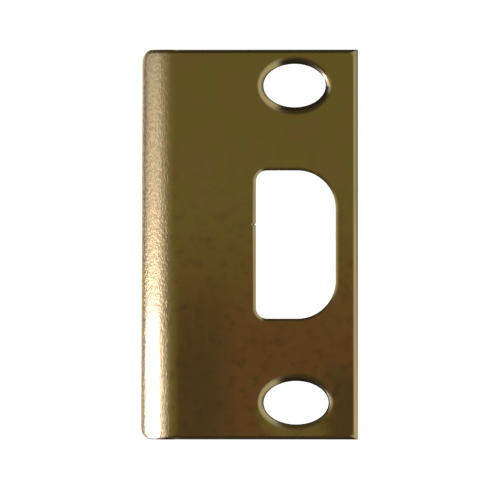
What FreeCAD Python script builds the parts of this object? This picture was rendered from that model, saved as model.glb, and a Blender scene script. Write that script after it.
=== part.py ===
import FreeCAD, Part
import math
import os

# Door strike plate for a latch bolt: one blank of 16 gauge steel, pierced, coined round
# its screw holes, curled along one long edge and then brass plated.
# Origin: back face, midway between the two screw holes.
# +Z comes out of the face that shows once the plate is let into the jamb, +Y runs up the
# jamb through both screw holes, and +X points away from the curled lip.

# Blank, all sizes in millimetres
PLATE_HEIGHT = 57.15
SHEET_THICKNESS = 1.5
SCREW_LINE_TO_STRAIGHT_EDGE = 9.2
SCREW_LINE_TO_BEND = 17.35

# Lip that the latch bolt rides up: a plain arc, curled back towards the jamb
LIP_INNER_RADIUS = 7.7
LIP_TURN_DEG = 35.6
LIP_CORNER_RADIUS = 1.8

# Latch opening: square-cornered towards the lip, well rounded on the other side
LATCH_WIDTH = 11.65
LATCH_HEIGHT = 21.7
LATCH_CORNER_BY_LIP = 1.6
LATCH_CORNER_BY_EDGE = 5.6
WEB_BY_STRAIGHT_EDGE = 3.3

# Screw holes: ovals, longer across the plate, so that it can be shifted before it is
# tightened. The lower one is a little longer. Each has a coined seat for a screw's head,
# which reaches further out along the plate than across it.
PLATE_END_TO_SCREW = 5.4
UPPER_HOLE_WIDTH = 9.1
LOWER_HOLE_WIDTH = 9.5
SCREW_HOLE_HEIGHT = 6.35
SEAT_MARGIN = 0.65
SEAT_STRETCH = 1.3
SEAT_ANGLE_DEG = 100.0
SEAT_RIM_ROUNDING = 1.1

# Rounding that the punch drew over the edges of the face; the back edges stay sharp
EDGE_ROLL = 0.6

# How closely a point has to lie to a line or a face to count as on it
ON_SURFACE = 0.001


def vector(x, y, z):
    return FreeCAD.Vector(x, y, z)


def on_lip(radius, turn_deg):
    """Point of the side section on an arc about the lip's axis, turned from the flat."""
    turn = math.radians(turn_deg)
    x = -SCREW_LINE_TO_BEND - radius * math.sin(turn)
    z = -LIP_INNER_RADIUS + radius * math.cos(turn)
    return vector(x, -PLATE_HEIGHT / 2, z)


def lip_arc(radius):
    """Arc of the side section from the flat sheet to the tip of the lip."""
    middle = on_lip(radius, LIP_TURN_DEG / 2)
    return Part.Arc(on_lip(radius, 0), middle, on_lip(radius, LIP_TURN_DEG)).toShape()


def curled_sheet():
    """Flat sheet and lip: one side section, drawn along the plate's height."""
    outer_radius = LIP_INNER_RADIUS + SHEET_THICKNESS
    back_corner = vector(SCREW_LINE_TO_STRAIGHT_EDGE, -PLATE_HEIGHT / 2, 0)
    front_corner = back_corner + vector(0, 0, SHEET_THICKNESS)
    section = Part.Wire([
        Part.makeLine(back_corner, on_lip(LIP_INNER_RADIUS, 0)),
        lip_arc(LIP_INNER_RADIUS),
        Part.makeLine(on_lip(LIP_INNER_RADIUS, LIP_TURN_DEG), on_lip(outer_radius, LIP_TURN_DEG)),
        lip_arc(outer_radius),
        Part.makeLine(on_lip(outer_radius, 0), front_corner),
        Part.makeLine(front_corner, back_corner),
    ])
    return Part.Face(section).extrude(vector(0, PLATE_HEIGHT, 0))


def round_lip_corners(sheet):
    """Round both ends of the lip's tip, through the thickness of the sheet."""
    outer_radius = LIP_INNER_RADIUS + SHEET_THICKNESS
    lower_corner = (on_lip(LIP_INNER_RADIUS, LIP_TURN_DEG) + on_lip(outer_radius, LIP_TURN_DEG)) / 2
    upper_corner = lower_corner + vector(0, PLATE_HEIGHT, 0)
    corner_edges = []
    for edge in sheet.Edges:
        for corner in (lower_corner, upper_corner):
            if edge.CenterOfMass.isEqual(corner, ON_SURFACE):
                corner_edges.append(edge)
    return sheet.makeFillet(LIP_CORNER_RADIUS, corner_edges)


def latch_corner(centre, radius, start_deg):
    """Quarter turn of the latch opening's outline, about the centre of its corner."""
    points = []
    for turn_deg in (start_deg, start_deg + 45, start_deg + 90):
        turn = math.radians(turn_deg)
        points.append(centre + vector(math.cos(turn), math.sin(turn), 0) * radius)
    return Part.Arc(*points).toShape()


def through_punch(outline):
    """Punch that starts one sheet below the back face and ends one sheet above the front."""
    return Part.Face(outline).extrude(vector(0, 0, SHEET_THICKNESS) * 3)


def latch_punch():
    """Punch for the latch opening, drawn anticlockwise from the upper right corner."""
    below = -SHEET_THICKNESS
    right = SCREW_LINE_TO_STRAIGHT_EDGE - WEB_BY_STRAIGHT_EDGE
    left = right - LATCH_WIDTH
    top = LATCH_HEIGHT / 2
    by_edge = LATCH_CORNER_BY_EDGE
    by_lip = LATCH_CORNER_BY_LIP
    corners = [
        latch_corner(vector(right - by_edge, top - by_edge, below), by_edge, 0),
        latch_corner(vector(left + by_lip, top - by_lip, below), by_lip, 90),
        latch_corner(vector(left + by_lip, by_lip - top, below), by_lip, 180),
        latch_corner(vector(right - by_edge, by_edge - top, below), by_edge, 270),
    ]
    outline = []
    for corner, next_corner in zip(corners, corners[1:] + corners[:1]):
        outline.append(corner)
        outline.append(Part.makeLine(corner.lastVertex().Point, next_corner.firstVertex().Point))
    return through_punch(Part.Wire(outline))


def oval(hole_width, margin, centre_y, level):
    """Oval that is wider than a screw hole by a margin all round, more so along the plate."""
    centre = vector(0, centre_y, level)
    half_height = SCREW_HOLE_HEIGHT / 2 + margin * SEAT_STRETCH
    return Part.Wire(Part.Ellipse(centre, hole_width / 2 + margin, half_height).toShape())


def screw_punch(hole_width, centre_y):
    """Oval punch, with the flare that coins the seat round the hole's mouth."""
    seat_depth = SEAT_MARGIN / math.tan(math.radians(SEAT_ANGLE_DEG / 2))
    shank = through_punch(oval(hole_width, 0, centre_y, -SHEET_THICKNESS))
    flare = Part.makeLoft([
        oval(hole_width, 0, centre_y, SHEET_THICKNESS - seat_depth),
        oval(hole_width, SEAT_MARGIN, centre_y, SHEET_THICKNESS),
    ], True, True)
    return shank.fuse(flare)


def on_front(point):
    """Whether a point lies on the side that shows, on the flat or on the lip."""
    past_bend = -SCREW_LINE_TO_BEND - point.x
    if past_bend <= 0:
        return abs(point.z - SHEET_THICKNESS) < ON_SURFACE
    outer_radius = LIP_INNER_RADIUS + SHEET_THICKNESS
    return abs(math.hypot(past_bend, point.z + LIP_INNER_RADIUS) - outer_radius) < ON_SURFACE


def front_edges(plate):
    """Edges round the side that shows: its outline and the mouths of its holes."""
    bend_line = vector(-SCREW_LINE_TO_BEND, 0, SHEET_THICKNESS)
    edges = []
    for edge in plate.Edges:
        on_bend_line = edge.CenterOfMass.isEqual(bend_line, ON_SURFACE)
        if all(on_front(vertex.Point) for vertex in edge.Vertexes) and not on_bend_line:
            edges.append(edge)
    return edges


def strike_plate():
    """The whole plate: sheet, lip, three holes and the rounding of its front edges."""
    screw_height = PLATE_HEIGHT / 2 - PLATE_END_TO_SCREW
    punches = Part.makeCompound([
        latch_punch(),
        screw_punch(UPPER_HOLE_WIDTH, screw_height),
        screw_punch(LOWER_HOLE_WIDTH, -screw_height),
    ])
    pierced = round_lip_corners(curled_sheet()).cut(punches)
    seat_rims = [edge for edge in front_edges(pierced) if isinstance(edge.Curve, Part.Ellipse)]
    seated = pierced.makeFillet(SEAT_RIM_ROUNDING, seat_rims)
    punched = [edge for edge in front_edges(seated) if not isinstance(edge.Curve, Part.Ellipse)]
    return seated.makeFillet(EDGE_ROLL, punched)


os.makedirs("parts", exist_ok=True)
plate = strike_plate()
plate.exportStep(os.path.join("parts", "strike_plate.step"))
print("strike_plate", "valid" if plate.isValid() else "not valid", round(plate.Volume, 1), "cubic mm")
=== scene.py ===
import math

import bmesh
import bpy
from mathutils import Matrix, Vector


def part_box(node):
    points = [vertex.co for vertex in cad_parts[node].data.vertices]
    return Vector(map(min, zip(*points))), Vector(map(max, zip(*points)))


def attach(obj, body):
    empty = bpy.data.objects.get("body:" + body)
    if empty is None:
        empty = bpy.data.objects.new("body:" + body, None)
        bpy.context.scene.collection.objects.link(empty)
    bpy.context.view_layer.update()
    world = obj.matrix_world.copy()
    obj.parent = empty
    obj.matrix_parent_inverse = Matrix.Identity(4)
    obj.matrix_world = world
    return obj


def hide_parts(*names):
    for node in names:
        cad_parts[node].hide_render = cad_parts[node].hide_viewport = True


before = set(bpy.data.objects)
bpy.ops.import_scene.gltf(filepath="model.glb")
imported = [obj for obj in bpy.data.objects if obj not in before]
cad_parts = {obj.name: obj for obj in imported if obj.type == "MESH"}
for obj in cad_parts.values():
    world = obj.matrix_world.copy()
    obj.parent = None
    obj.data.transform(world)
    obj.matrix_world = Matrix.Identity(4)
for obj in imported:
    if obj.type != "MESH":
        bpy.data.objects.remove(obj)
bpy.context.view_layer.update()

# The blank: 16 gauge sheet, cut to its outline on a press. Its front edges are drawn down
# by the punch, and its back edges are left sharp. It is built flat and in millimetres, so
# its lip is a straight strip here, as long as the lip's front face and round at its corners.
MM = 0.001
plate_low, plate_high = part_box("strike_plate")
SHEET = 1.5
STRAIGHT_EDGE = plate_high.x / MM
HALF_HEIGHT = plate_high.y / MM
BEND_LINE = -17.35
LIP_OUTER_RADIUS = 9.2
LIP_TURN = math.radians(35.6)
FLAT_LIP = LIP_OUTER_RADIUS * LIP_TURN
TIP_CORNER_RADIUS = 1.8
TIP_CORNER_STEPS = 16
CORNER_BREAK = 0.15
CORNER_STEPS = 8
EDGE_ROLL_WIDTH = 0.87
EDGE_ROLL_DEPTH = 0.36
END_ROLL_SHARE = 0.72
ROLL_STEPS = 10
FLAT_RIM = 0.03


def arc(centre, radii, start_deg, steps):
    """Points of a quarter turn, anticlockwise from start_deg."""
    points = []
    for step in range(steps + 1):
        turn = math.radians(start_deg + 90 * step / steps)
        points.append((centre[0] + radii[0] * math.cos(turn), centre[1] + radii[1] * math.sin(turn)))
    return points


def blank_outline(inset):
    """The blank's outline, moved inwards by inset, and by less at its two ends, anticlockwise."""
    end_inset = inset * END_ROLL_SHARE
    corner = CORNER_BREAK + inset
    corner_x = STRAIGHT_EDGE - inset - corner
    corner_y = HALF_HEIGHT - end_inset - corner
    tip_x = BEND_LINE - FLAT_LIP + TIP_CORNER_RADIUS
    tip_y = HALF_HEIGHT - TIP_CORNER_RADIUS
    tip_radii = (TIP_CORNER_RADIUS - inset, TIP_CORNER_RADIUS - end_inset)
    points = arc((corner_x, -corner_y), (corner, corner), 270, CORNER_STEPS)
    points += arc((corner_x, corner_y), (corner, corner), 0, CORNER_STEPS)
    points += arc((tip_x, tip_y), tip_radii, 90, TIP_CORNER_STEPS)
    points += arc((tip_x, -tip_y), tip_radii, 180, TIP_CORNER_STEPS)
    return points


def rolled_edge(width, depth):
    """Steps of an edge's section, from the flat face to the back: (inset, height)."""
    steps = [(width + FLAT_RIM, SHEET)]
    for step in range(ROLL_STEPS + 1):
        along = step / ROLL_STEPS
        steps.append((width * (1 - along), SHEET - depth * along ** 2))
    steps.append((0, 0))
    return steps


plate = bmesh.new()
front_rims = []
back_rims = []


def skin(outline, section):
    """Rings of one outline, stepped through a section and bridged. The end rings are rims."""
    rings = []
    for inset, height in section:
        ring = [plate.verts.new((x, y, height)) for x, y in outline(inset)]
        rings.append([plate.edges.new(pair) for pair in zip(ring, ring[1:] + ring[:1])])
    for upper, lower in zip(rings, rings[1:]):
        bmesh.ops.bridge_loops(plate, edges=upper + lower)
    front_rims.extend(rings[0])
    back_rims.extend(rings[-1])


skin(blank_outline, rolled_edge(EDGE_ROLL_WIDTH, EDGE_ROLL_DEPTH))

# The latch opening, punched through the blank, with tight corners towards the lip and wide
# ones towards the straight edge. The punch drew its front rim down a little, and less so by
# the straight edge. Its edge by the lip has a small nick.
LATCH_WIDTH = 11.65
LATCH_HEIGHT = 21.7
LATCH_CORNER_BY_LIP = 1.6
LATCH_CORNER_BY_EDGE = 5.6
TIGHT_CORNER_STEPS = 12
WIDE_CORNER_STEPS = 24
WEB = 3.3
LATCH_RIGHT = STRAIGHT_EDGE - WEB
LATCH_LEFT = LATCH_RIGHT - LATCH_WIDTH
LATCH_MIDDLE = LATCH_RIGHT - LATCH_WIDTH / 2
LATCH_ROLL_WIDTH = 0.6
LATCH_ROLL_DEPTH = 0.17
WEB_LIGHTNESS = 0.28
NICK_Y = 2.95
NICK_DEPTH = 0.32
NICK_HALF_HEIGHT = 0.16


def latch_outline(inset):
    """The opening's outline, moved outwards into the sheet by inset, anticlockwise."""
    by_edge = LATCH_CORNER_BY_EDGE
    by_lip = LATCH_CORNER_BY_LIP
    right_x = LATCH_RIGHT - by_edge
    right_y = LATCH_HEIGHT / 2 - by_edge
    left_x = LATCH_LEFT + by_lip
    left_y = LATCH_HEIGHT / 2 - by_lip
    right_radii = (by_edge + inset, by_edge + inset)
    left_radii = (by_lip + inset, by_lip + inset)
    points = arc((right_x, right_y), right_radii, 0, WIDE_CORNER_STEPS)
    points += arc((left_x, left_y), left_radii, 90, TIGHT_CORNER_STEPS)
    nick_x = LATCH_LEFT - inset
    points.append((nick_x, NICK_Y + NICK_HALF_HEIGHT))
    points.append((nick_x - NICK_DEPTH, NICK_Y))
    points.append((nick_x, NICK_Y - NICK_HALF_HEIGHT))
    points += arc((left_x, -left_y), left_radii, 180, TIGHT_CORNER_STEPS)
    points += arc((right_x, -right_y), right_radii, 270, WIDE_CORNER_STEPS)
    return points


skin(latch_outline, rolled_edge(LATCH_ROLL_WIDTH, LATCH_ROLL_DEPTH))
for vert in plate.verts:
    past_middle = vert.co.x - LATCH_MIDDLE
    by_right_rim = 0 < past_middle < LATCH_WIDTH / 2 + WEB / 2
    if vert.co.z > 0 and by_right_rim and abs(vert.co.y) < LATCH_HEIGHT / 2 + WEB / 2:
        vert.co.z += (SHEET - vert.co.z) * WEB_LIGHTNESS * min(1, past_middle / (LATCH_WIDTH / 2))

# The two screw holes: ovals, longer across the plate. A shouldered punch coined a sloping
# seat round each, so that a flat head screw's head lies level with the face. The holes
# stand a little off their line, and their drifts are given here as (X, Y).
SCREW_FROM_END = 5.4
SCREW_HOLE_HEIGHT = 6.35
UPPER_HOLE_WIDTH = 9.1
LOWER_HOLE_WIDTH = 9.5
UPPER_DRIFT = (-0.1, 0.13)
LOWER_DRIFT = (0.12, 0)
UPPER_SCREW = (UPPER_DRIFT[0], HALF_HEIGHT - SCREW_FROM_END + UPPER_DRIFT[1])
LOWER_SCREW = (LOWER_DRIFT[0], SCREW_FROM_END - HALF_HEIGHT + LOWER_DRIFT[1])
SCREW_HOLES = ((UPPER_SCREW, UPPER_HOLE_WIDTH), (LOWER_SCREW, LOWER_HOLE_WIDTH))
OVAL_STEPS = 30
SEAT_MARGIN = 0.65
SEAT_SLOPE = math.radians(40)
SEAT_RIM_RADIUS = 1.1
SEAT_RIM_STEPS = 8
SEAT_STRETCH = 1.3


def oval(centre, hole_width):
    """Outline of an oval hole, moved outwards into the sheet by inset."""
    def outline(inset):
        radii = (hole_width / 2 + inset, SCREW_HOLE_HEIGHT / 2 + inset * SEAT_STRETCH)
        points = []
        for start_deg in (0, 90, 180, 270):
            points += arc(centre, radii, start_deg, OVAL_STEPS)[:-1]
        return points
    return outline


def seat_section():
    """Steps of a seat's section: rounded rim, slope, throat and back."""
    outer = SEAT_MARGIN + SEAT_RIM_RADIUS * math.tan(SEAT_SLOPE / 2)
    steps = [(outer + FLAT_RIM, SHEET)]
    for step in range(SEAT_RIM_STEPS + 1):
        turn = SEAT_SLOPE * step / SEAT_RIM_STEPS
        inset = outer - SEAT_RIM_RADIUS * math.sin(turn)
        steps.append((inset, SHEET - SEAT_RIM_RADIUS * (1 - math.cos(turn))))
    steps.append((0, SHEET - SEAT_MARGIN * math.tan(SEAT_SLOPE)))
    steps.append((0, 0))
    return steps


for centre, hole_width in SCREW_HOLES:
    skin(oval(centre, hole_width), seat_section())

# Parts of both seats were coined lightly, so they are shallower: the lower one's towards the
# plate's foot and its straight edge, and the upper one's in a narrow part towards the
# straight edge and in the corner above that. Reaches are in the hole's half sizes.
SEAT_REACH = 1.7
FOOT_LIGHTNESS = 0.52
EDGE_LIGHTNESS = 0.55
UPPER_LIGHTNESS = 0.2
UPPER_NARROWNESS = 12
UPPER_CORNER_LIGHTNESS = 0.92


def from_hole(point, centre, hole_width):
    """Where a point lies from a hole's centre, in its half sizes: across, along and in all."""
    across = (point.x - centre[0]) / (hole_width / 2)
    along = (point.y - centre[1]) / (SCREW_HOLE_HEIGHT / 2)
    return across, along, math.hypot(across, along)


for vert in plate.verts:
    across, along, reach = from_hole(vert.co, LOWER_SCREW, LOWER_HOLE_WIDTH)
    if vert.co.z > 0 and reach < SEAT_REACH:
        lightness = FOOT_LIGHTNESS * max(0, -along / reach)
        lightness += EDGE_LIGHTNESS * max(0, across / reach) ** 2
        vert.co.z += (SHEET - vert.co.z) * lightness
    across, along, reach = from_hole(vert.co, UPPER_SCREW, UPPER_HOLE_WIDTH)
    if vert.co.z > 0 and reach < SEAT_REACH and across > 0:
        lightness = UPPER_LIGHTNESS * (across / reach) ** UPPER_NARROWNESS
        lightness += UPPER_CORNER_LIGHTNESS * across ** 2 * max(0, along) / reach ** 3
        vert.co.z += (SHEET - vert.co.z) * lightness

# The front and back faces close the blank between the rims.
bmesh.ops.triangle_fill(plate, edges=front_rims, use_beauty=True, normal=(0, 0, 1))
bmesh.ops.triangle_fill(plate, edges=back_rims, use_beauty=True, normal=(0, 0, -1))

# The lip: the strip past the bend line, curled back over a round former, which left its tip
# slightly further in at the top. The blank is divided into fine strips there, and each point
# is carried round the bend. The edge's roll gets shallower towards the tip.
LIP_INNER_RADIUS = LIP_OUTER_RADIUS - SHEET
LIP_STRIPS = 40
ON_CUT = 0.0001
TIP_SLANT = 0.04
TIP_ROLL_SHARE = 0.29
TIP_ROLL_SLANT = 0.09
ROLL_FALL = 1.6
for strip in range(LIP_STRIPS):
    bmesh.ops.bisect_plane(
        plate,
        geom=plate.verts[:] + plate.edges[:] + plate.faces[:],
        dist=ON_CUT,
        plane_co=(BEND_LINE - FLAT_LIP * strip / LIP_STRIPS, 0, 0),
        plane_no=(1, 0, 0),
    )
for vert in plate.verts:
    past_bend = BEND_LINE - vert.co.x
    if past_bend > 0:
        towards_top = (vert.co.y / HALF_HEIGHT + 1) / 2
        turn = past_bend * (1 - TIP_SLANT * towards_top) / LIP_OUTER_RADIUS
        if vert.co.z > 0:
            tip_share = TIP_ROLL_SHARE + TIP_ROLL_SLANT * vert.co.y / HALF_HEIGHT
            by_bend = max(0, 1 - ROLL_FALL * past_bend / FLAT_LIP) ** 2
            vert.co.z = SHEET - (SHEET - vert.co.z) * (tip_share + (1 - tip_share) * by_bend)
        radius = LIP_INNER_RADIUS + vert.co.z
        vert.co.x = BEND_LINE - radius * math.sin(turn)
        vert.co.z = radius * math.cos(turn) - LIP_INNER_RADIUS

# Faces run smooth into each other, apart from the sheared edges.
SHARP = math.radians(30)
bmesh.ops.recalc_face_normals(plate, faces=plate.faces[:])
for face in plate.faces:
    face.smooth = True
for edge in plate.edges:
    edge.smooth = edge.calc_face_angle(0) < SHARP
bmesh.ops.scale(plate, verts=plate.verts[:], vec=(MM, MM, MM))
plate_mesh = bpy.data.meshes.new("plated_strike")
plate.to_mesh(plate_mesh)
plate.free()
strike = bpy.data.objects.new("plated_strike", plate_mesh)
bpy.context.scene.collection.objects.link(strike)

# The finish: brass plate under clear lacquer. Places on it are in millimetres, and slopes are
# parts of the direction that the metal faces. A span is the pair of places, slopes or levels
# at which a change starts and at which it is complete.
LACQUER_ROUGHNESS = 0.1
LACQUER_IOR = 1.7
brass = bpy.data.materials.new("brass_plate")
brass.use_nodes = True
nodes = brass.node_tree.nodes
links = brass.node_tree.links
metal = nodes["Principled BSDF"]
metal.inputs["Metallic"].default_value = 1
metal.inputs["Coat Weight"].default_value = 1
metal.inputs["Coat Roughness"].default_value = LACQUER_ROUGHNESS
metal.inputs["Coat IOR"].default_value = LACQUER_IOR


def parts_of(vector):
    """A vector's X, Y and Z."""
    parts = nodes.new("ShaderNodeSeparateXYZ")
    links.new(vector, parts.inputs["Vector"])
    return parts.outputs


def scaled(vector, factors, shift):
    """A vector times its factors, and then shifted."""
    result = nodes.new("ShaderNodeVectorMath")
    result.operation = "MULTIPLY_ADD"
    links.new(vector, result.inputs[0])
    result.inputs[1].default_value = factors
    result.inputs[2].default_value = shift
    return result.outputs["Vector"]


def clouds(vector, scale, detail):
    """Cloudy pattern, with so many clouds to a millimetre."""
    pattern = nodes.new("ShaderNodeTexNoise")
    links.new(vector, pattern.inputs["Vector"])
    pattern.inputs["Scale"].default_value = scale
    pattern.inputs["Detail"].default_value = detail
    return pattern


def fade(value, span):
    """Smooth step of a value, from 0 at the span's start to 1 at its end."""
    step = nodes.new("ShaderNodeMapRange")
    step.interpolation_type = "SMOOTHSTEP"
    links.new(value, step.inputs["Value"])
    step.inputs["From Min"].default_value = span[0]
    step.inputs["From Max"].default_value = span[1]
    return step.outputs["Result"]


def combine(operation, *values):
    """One value worked out from others, each of them a number or a socket."""
    result = nodes.new("ShaderNodeMath")
    result.operation = operation
    for value, socket in zip(values, result.inputs):
        if isinstance(value, float):
            socket.default_value = value
        else:
            links.new(value, socket)
    return result.outputs["Value"]


def blend(factor, below, above):
    """Colour that goes from below to above, each of them a colour or a socket."""
    mix = nodes.new("ShaderNodeMix")
    mix.data_type = "RGBA"
    links.new(factor, mix.inputs["Factor"])
    for end, socket_name in ((below, "A"), (above, "B")):
        if isinstance(end, tuple):
            mix.inputs[socket_name].default_value = end
        else:
            links.new(end, mix.inputs[socket_name])
    return mix.outputs["Result"]


def out_from(centre, half_width, half_height):
    """How far a place lies from a centre, as a share of an oval's half sizes."""
    factors = (1 / half_width, 1 / half_height, 0)
    shift = (-centre[0] / half_width, -centre[1] / half_height, 0)
    length = nodes.new("ShaderNodeVectorMath")
    length.operation = "LENGTH"
    links.new(scaled(in_mm, factors, shift), length.inputs[0])
    return length.outputs["Value"]


place = nodes.new("ShaderNodeTexCoord")
in_mm = scaled(place.outputs["Object"], (1 / MM, 1 / MM, 1 / MM), (0, 0, 0))
where = parts_of(in_mm)
facing = parts_of(place.outputs["Normal"])

# The plating: olive brass with browner clouds, turned coppery towards the plate's foot, but
# not round the lower screw hole. Its lower corner by the lip is darkened brown as painted shade,
# and its lower corner by the straight edge is darker brown too. The edges of these changes wander
# by a few millimetres, and the coppery foot and the painted shade stop at the bend.
OLIVE_BRASS = (0.585, 0.42, 0.145, 1)
BROWN_BRASS = (0.63, 0.39, 0.175, 1)
CLOUD_SCALE = 0.3
CLOUD_DETAIL = 2
CLOUD_SPAN = (0.45, 0.65)
WANDER_SCALE = 0.15
WANDER_DETAIL = 3
WANDER = 6
OFF_THE_BEND = (-17.9, -16.6)
COPPERY = (0.52, 0.215, 0.115, 1)
COPPERY_Y = (9, -17)
CLEAN_CENTRE = (0.7, -24.8)
CLEAN_HALF_WIDTH = 5.9
CLEAN_HALF_HEIGHT = 4
CLEAN_SPAN = (1.25, 0.85)
DARK_CORNER_BROWN = (0.33, 0.165, 0.07, 1)
LIP_CORNER_X = (-8, -13)
LIP_CORNER_Y = (-1, -20)
EDGE_CORNER_X = (3.5, 6)
EDGE_CORNER_Y = (-16, -21)
mottle = clouds(in_mm, CLOUD_SCALE, CLOUD_DETAIL)
colour = blend(fade(mottle.outputs["Fac"], CLOUD_SPAN), OLIVE_BRASS, BROWN_BRASS)
drift = clouds(in_mm, WANDER_SCALE, WANDER_DETAIL)
drift_in_mm = scaled(drift.outputs["Color"], (WANDER, WANDER, 0), (-WANDER / 2, -WANDER / 2, 0))
wandering = nodes.new("ShaderNodeVectorMath")
links.new(in_mm, wandering.inputs[0])
links.new(drift_in_mm, wandering.inputs[1])
wandered = parts_of(wandering.outputs["Vector"])
off_the_bend = fade(where["X"], OFF_THE_BEND)
coppery_foot = combine("MULTIPLY", off_the_bend, fade(wandered["Y"], COPPERY_Y))
colour = blend(coppery_foot, colour, COPPERY)
clean = fade(out_from(CLEAN_CENTRE, CLEAN_HALF_WIDTH, CLEAN_HALF_HEIGHT), CLEAN_SPAN)
colour = blend(clean, colour, OLIVE_BRASS)
# Painted shade: the plate's lower corner by the lip is darkened to brown.
painted_shade_by_lip = combine("MULTIPLY", fade(wandered["X"], LIP_CORNER_X), fade(wandered["Y"], LIP_CORNER_Y))
colour = blend(combine("MULTIPLY", off_the_bend, painted_shade_by_lip), colour, DARK_CORNER_BROWN)
foot_by_edge = combine("MULTIPLY", fade(wandered["X"], EDGE_CORNER_X), fade(wandered["Y"], EDGE_CORNER_Y))
colour = blend(foot_by_edge, colour, DARK_CORNER_BROWN)

# Dark flecks in the plating's lower part, and a few pale specks all over it.
FLECK = (0.16, 0.09, 0.035, 1)
FLECK_SCALE = 0.6
FLECK_DETAIL = 4
FLECK_SPAN = (0.42, 1.05)
FLECK_Y = (22, -14)
SPECK = (1, 0.85, 0.5, 1)
SPECK_SCALE = 0.3
SPECK_SIZE = (0.03, 0.01)
SPECK_PICK = (0.6, 0.7)
flecks = clouds(in_mm, FLECK_SCALE, FLECK_DETAIL)
fleck = combine("MULTIPLY", fade(flecks.outputs["Fac"], FLECK_SPAN), fade(where["Y"], FLECK_Y))
colour = blend(fleck, colour, FLECK)
specks = nodes.new("ShaderNodeTexVoronoi")
specks.inputs["Scale"].default_value = SPECK_SCALE
links.new(in_mm, specks.inputs["Vector"])
pick = nodes.new("ShaderNodeSeparateColor")
links.new(specks.outputs["Color"], pick.inputs["Color"])
picked = fade(pick.outputs["Red"], SPECK_PICK)
speck = combine("MULTIPLY", fade(specks.outputs["Distance"], SPECK_SIZE), picked)
colour = blend(speck, colour, SPECK)

# The worn slopes: wherever the metal slopes it is rubbed paler. The straight edge gets a painted
# highlight, paler from its middle down, and a thin line of painted shade along its very corner
# that fades out downwards.
RUBBED = (0.70, 0.49, 0.23, 1)
RUBBED_SLOPE = (0.9985, 0.97)
EDGE_PAINTED_HIGHLIGHT = (1, 0.62, 0.33, 1)
EDGE_HIGHLIGHT_X = (8.45, 8.85)
EDGE_HIGHLIGHT_Y = (8, -1)
EDGE_PAINTED_SHADE = (0.27, 0.20, 0.12, 1)
EDGE_LINE_X = (8.8, 9.0)
EDGE_LINE_Y = (-48, 8)
colour = blend(fade(facing["Z"], RUBBED_SLOPE), colour, RUBBED)
# Painted highlight: the straight edge is painted pale and pinkish from its middle down.
edge_highlight = combine("MULTIPLY", fade(where["X"], EDGE_HIGHLIGHT_X), fade(where["Y"], EDGE_HIGHLIGHT_Y))
colour = blend(edge_highlight, colour, EDGE_PAINTED_HIGHLIGHT)
# Painted shade: a thin dark line along the straight edge's very corner.
edge_line = combine("MULTIPLY", fade(where["X"], EDGE_LINE_X), fade(where["Y"], EDGE_LINE_Y))
colour = blend(edge_line, colour, EDGE_PAINTED_SHADE)

# The screw seats: darkened as painted shade where they are steepest, and on all sides of their
# rims but the one that faces away from the lip. The part that faces the lip and the plate's foot
# at once gets the rims' pale colour over that painted shade.
SEAT_PAINTED_SHADE = (0.13, 0.09, 0.05, 1)
SEAT_FOOT_SLOPE = (0.86, 0.74)
RIM_SHADE_X = (0.22, 0.1)
RIM_SHADE_SLOPE = (0.93, 0.84)
TOWARDS_LIP = (-0.2, -0.35)
TOWARDS_FOOT = (0.05, -0.1)
# Painted shade: the steepest part of each seat is darkened.
seat_foot_shade = combine("MULTIPLY", off_the_bend, fade(facing["Z"], SEAT_FOOT_SLOPE))
colour = blend(seat_foot_shade, colour, SEAT_PAINTED_SHADE)
# Painted shade: the seats' rims are darkened, except those that face away from the lip.
rim_shade = combine("MULTIPLY", fade(facing["X"], RIM_SHADE_X), fade(facing["Z"], RIM_SHADE_SLOPE))
colour = blend(combine("MULTIPLY", off_the_bend, rim_shade), colour, SEAT_PAINTED_SHADE)
towards_lip = combine("MULTIPLY", fade(facing["X"], TOWARDS_LIP), fade(facing["Y"], TOWARDS_FOOT))
colour = blend(towards_lip, colour, RUBBED)

# The cut metal: sheared sides. A thin dark line of painted shade runs round the throat of each
# screw hole and along the foot of the lip.
THIN_PAINTED_SHADE = (0.025, 0.02, 0.014, 1)
FOOT_LINE_X = (-17.5, -19)
FOOT_LINE_Y = (-28.3, -28.42)
THROAT_SPAN = (1.05, 1.025)
SHEARED = (0.5, 0.36, 0.17, 1)
SHEARED_SLOPE = (0.6, 0.3)
# Painted shade: a thin dark line along the foot of the lip.
foot_line = combine("MULTIPLY", fade(where["X"], FOOT_LINE_X), fade(where["Y"], FOOT_LINE_Y))
colour = blend(foot_line, colour, THIN_PAINTED_SHADE)
# Painted shade: a thin dark line round each screw hole's throat.
for centre, hole_width in SCREW_HOLES:
    from_throat = out_from(centre, hole_width / 2, SCREW_HOLE_HEIGHT / 2)
    colour = blend(fade(from_throat, THROAT_SPAN), colour, THIN_PAINTED_SHADE)
colour = blend(fade(facing["Z"], SHEARED_SLOPE), colour, SHEARED)

# The lip's finish: stretching the sheet raised its crystals, so the lip is grained along the
# bend, darker brown in the pits, and has a broader gloss than the flat face.
PIT_BROWN = (0.5, 0.34, 0.155, 1)
GRAIN_STRETCH = (1, 0.5, 1)
GRAIN_SCALE = 3.8
GRAIN_DETAIL = 2
GRAIN_ROUGHNESS = 0.6
GRAIN_HEIGHT = 0.048 * MM
GRAINED_X = (-17.8, -19)
PIT_SPAN = (0.57, 0.36)
FACE_ROUGHNESS = 0.18
LIP_ROUGHNESS = 0.29
ROUGHER_X = (-17.5, -19.5)
grain = clouds(scaled(in_mm, GRAIN_STRETCH, (0, 0, 0)), GRAIN_SCALE, GRAIN_DETAIL)
grain.inputs["Roughness"].default_value = GRAIN_ROUGHNESS
on_the_bend = fade(where["X"], GRAINED_X)
pits = combine("MULTIPLY", on_the_bend, fade(grain.outputs["Fac"], PIT_SPAN))
colour = blend(pits, colour, PIT_BROWN)
links.new(colour, metal.inputs["Base Color"])
gloss = nodes.new("ShaderNodeMapRange")
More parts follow.
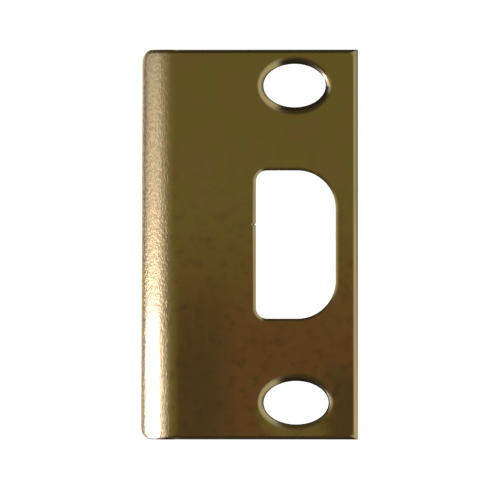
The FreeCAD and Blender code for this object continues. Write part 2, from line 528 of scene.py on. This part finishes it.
gloss.inputs["To Min"].default_value = FACE_ROUGHNESS
gloss.inputs["To Max"].default_value = LIP_ROUGHNESS
links.new(fade(where["X"], ROUGHER_X), gloss.inputs["Value"])
links.new(gloss.outputs["Result"], metal.inputs["Roughness"])
grain_bump = nodes.new("ShaderNodeBump")
grain_bump.inputs["Distance"].default_value = GRAIN_HEIGHT
links.new(on_the_bend, grain_bump.inputs["Strength"])
links.new(grain.outputs["Fac"], grain_bump.inputs["Height"])
links.new(grain_bump.outputs["Normal"], metal.inputs["Normal"])

strike.data.materials.append(brass)
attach(strike, "root")
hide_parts("strike_plate")

# The floor: a plain sheet of white paper just under the lip's tip, with the plate's soft
# shadow. To the camera, and in reflections, it glows as well, so that it shows as white.
FLOOR_HALF_SIZE = 1.5
FLOOR_GAP = 0.01 * MM
PAPER = (0.6, 0.6, 0.6, 1)
PAPER_ROUGHNESS = 0.9
PAPER_GLOW = 0.9
floor_shape = bmesh.new()
bmesh.ops.create_grid(floor_shape, x_segments=1, y_segments=1, size=FLOOR_HALF_SIZE)
bmesh.ops.translate(floor_shape, verts=floor_shape.verts[:], vec=(0, 0, plate_low.z - FLOOR_GAP))
floor_mesh = bpy.data.meshes.new("floor")
floor_shape.to_mesh(floor_mesh)
floor_shape.free()
floor = bpy.data.objects.new("floor", floor_mesh)
bpy.context.scene.collection.objects.link(floor)
paper = bpy.data.materials.new("white_paper")
paper.use_nodes = True
nodes = paper.node_tree.nodes
links = paper.node_tree.links
surface = nodes["Principled BSDF"]
surface.inputs["Base Color"].default_value = PAPER
surface.inputs["Roughness"].default_value = PAPER_ROUGHNESS
glow = nodes.new("ShaderNodeEmission")
glow.inputs["Strength"].default_value = PAPER_GLOW
seen = nodes.new("ShaderNodeLightPath")
seen_or_reflected = combine("MAXIMUM", seen.outputs["Is Camera Ray"], seen.outputs["Is Glossy Ray"])
any_of_three = combine("MAXIMUM", seen_or_reflected, seen.outputs["Is Transmission Ray"])
both = nodes.new("ShaderNodeAddShader")
links.new(surface.outputs["BSDF"], both.inputs[0])
links.new(glow.outputs["Emission"], both.inputs[1])
choice = nodes.new("ShaderNodeMixShader")
links.new(any_of_three, choice.inputs["Fac"])
links.new(surface.outputs["BSDF"], choice.inputs[1])
links.new(both.outputs["Shader"], choice.inputs[2])
links.new(choice.outputs["Shader"], nodes["Material Output"].inputs["Surface"])
floor.data.materials.append(paper)

# The room's light: dim and warm overhead, pale to the plate's left and right, dimmer on the
# left, dark beyond its two ends and white at the horizon. Heights are the upward part of a
# direction, and sides are its part to the right, as a share of its level part.
world = bpy.data.worlds.new("studio")
bpy.context.scene.world = world
world.use_nodes = True
nodes = world.node_tree.nodes
links = world.node_tree.links
room = nodes["Background"]
direction = nodes.new("ShaderNodeTexCoord")
axes = parts_of(direction.outputs["Generated"])


def light_by_height(stops):
    """Colour of the room by the upward part of a direction: (height, colour) from low to high."""
    ramp = nodes.new("ShaderNodeValToRGB")
    elements = ramp.color_ramp.elements
    for stop in stops[1:-1]:
        elements.new(stop[0])
    for element, (height, level) in zip(elements, stops):
        element.position = height
        element.color = level + (1,)
    links.new(axes["Z"], ramp.inputs["Fac"])
    return ramp.outputs["Color"]


OVERHEAD = (0.178, 0.172, 0.07)
HORIZON = (0.9, 0.9, 0.88)
right = light_by_height([
    (0.0, HORIZON),
    (0.05, (0.72, 0.72, 0.50)),
    (0.17, (0.70, 0.70, 0.46)),
    (0.31, (0.60, 0.62, 0.46)),
    (0.57, (0.50, 0.55, 0.50)),
    (0.81, (0.44, 0.505, 0.47)),
    (0.934, (0.34, 0.365, 0.30)),
    (0.966, (0.27, 0.27, 0.16)),
    (0.99, OVERHEAD),
])
left = light_by_height([
    (0.0, HORIZON),
    (0.05, (0.16, 0.18, 0.18)),
    (0.276, (0.21, 0.266, 0.315)),
    (0.454, (0.215, 0.265, 0.30)),
    (0.643, (0.34, 0.395, 0.425)),
    (0.81, (0.39, 0.43, 0.40)),
    (0.934, (0.335, 0.34, 0.245)),
    (0.966, (0.275, 0.262, 0.14)),
    (0.99, (0.19, 0.178, 0.07)),
    (1.0, OVERHEAD),
])
ends = light_by_height([
    (0.0, HORIZON),
    (0.05, (0.09, 0.085, 0.065)),
    (0.42, (0.09, 0.085, 0.06)),
    (0.57, (0.07, 0.066, 0.045)),
    (0.707, (0.038, 0.036, 0.02)),
    (0.87, (0.058, 0.055, 0.026)),
    (0.94, (0.098, 0.094, 0.038)),
    (0.99, OVERHEAD),
])
JUST_OVER_ONE = 1.0001
LEFT_SIDE = (-0.97, -0.88)
RIGHT_SIDE = (0.3, 0.5)
level_part = combine("SQRT", combine("SUBTRACT", JUST_OVER_ONE, combine("MULTIPLY", axes["Z"], axes["Z"])))
side = combine("DIVIDE", axes["X"], level_part)
left_and_ends = blend(fade(side, LEFT_SIDE), left, ends)
around = blend(fade(side, RIGHT_SIDE), left_and_ends, right)
links.new(around, room.inputs["Color"])

# The lamps: two soft panels low on the lip's side, a strong one towards the plate's foot and
# a weak one towards its top, so that the lip grows brighter all the way down. Each has a
# name, its degrees from straight up, its place along the plate, its power and its colour.
LAMP_DISTANCE = 0.106
LAMP_WIDTH = 0.052
LAMP_LENGTH = 0.06
LAMPS = (
    ("foot_lamp", 48.5, -0.0425, 0.050, (0.93, 1, 1.5)),
    ("top_lamp", 45, 0.004, 0.0074, (1, 0.955, 0.90)),
)
for lamp_name, off_zenith_deg, lamp_y, power, lamp_colour in LAMPS:
    off_zenith = math.radians(off_zenith_deg)
    towards_lamp = Vector((-math.sin(off_zenith), 0, math.cos(off_zenith)))
    lamp_data = bpy.data.lights.new(lamp_name, "AREA")
    lamp_data.shape = "RECTANGLE"
    lamp_data.size = LAMP_WIDTH
    lamp_data.size_y = LAMP_LENGTH
    lamp_data.energy = power
    lamp_data.color = lamp_colour
    lamp = bpy.data.objects.new(lamp_name, lamp_data)
    lamp.location = Vector((BEND_LINE * MM, lamp_y, 0)) + towards_lamp * LAMP_DISTANCE
    lamp.rotation_euler = (0, -off_zenith, 0)
    bpy.context.scene.collection.objects.link(lamp)

# The camera: straight above the plate's face, as far off as a close product shot is taken.
# These are the photograph's pixels: the plate's top and bottom edges, and the line
# through the screw holes.
PHOTO_SIDE = 500
TOP_EDGE_PX = 49.44
BOTTOM_EDGE_PX = 439.75
SCREW_LINE_PX = 295.3
CAMERA_HEIGHT = 0.5
pixel = 2 * plate_high.y / (BOTTOM_EDGE_PX - TOP_EDGE_PX)
middle_y_px = (TOP_EDGE_PX + BOTTOM_EDGE_PX) / 2
camera_data = bpy.data.cameras.new("camera")
camera_data.angle = 2 * math.atan(PHOTO_SIDE / 2 * pixel / (CAMERA_HEIGHT - plate_high.z))
camera = bpy.data.objects.new("camera", camera_data)
camera.location = (
    (PHOTO_SIDE / 2 - SCREW_LINE_PX) * pixel,
    (middle_y_px - PHOTO_SIDE / 2) * pixel,
    CAMERA_HEIGHT,
)
bpy.context.scene.collection.objects.link(camera)
bpy.context.scene.camera = camera
bpy.context.scene.view_settings.view_transform = "Standard"
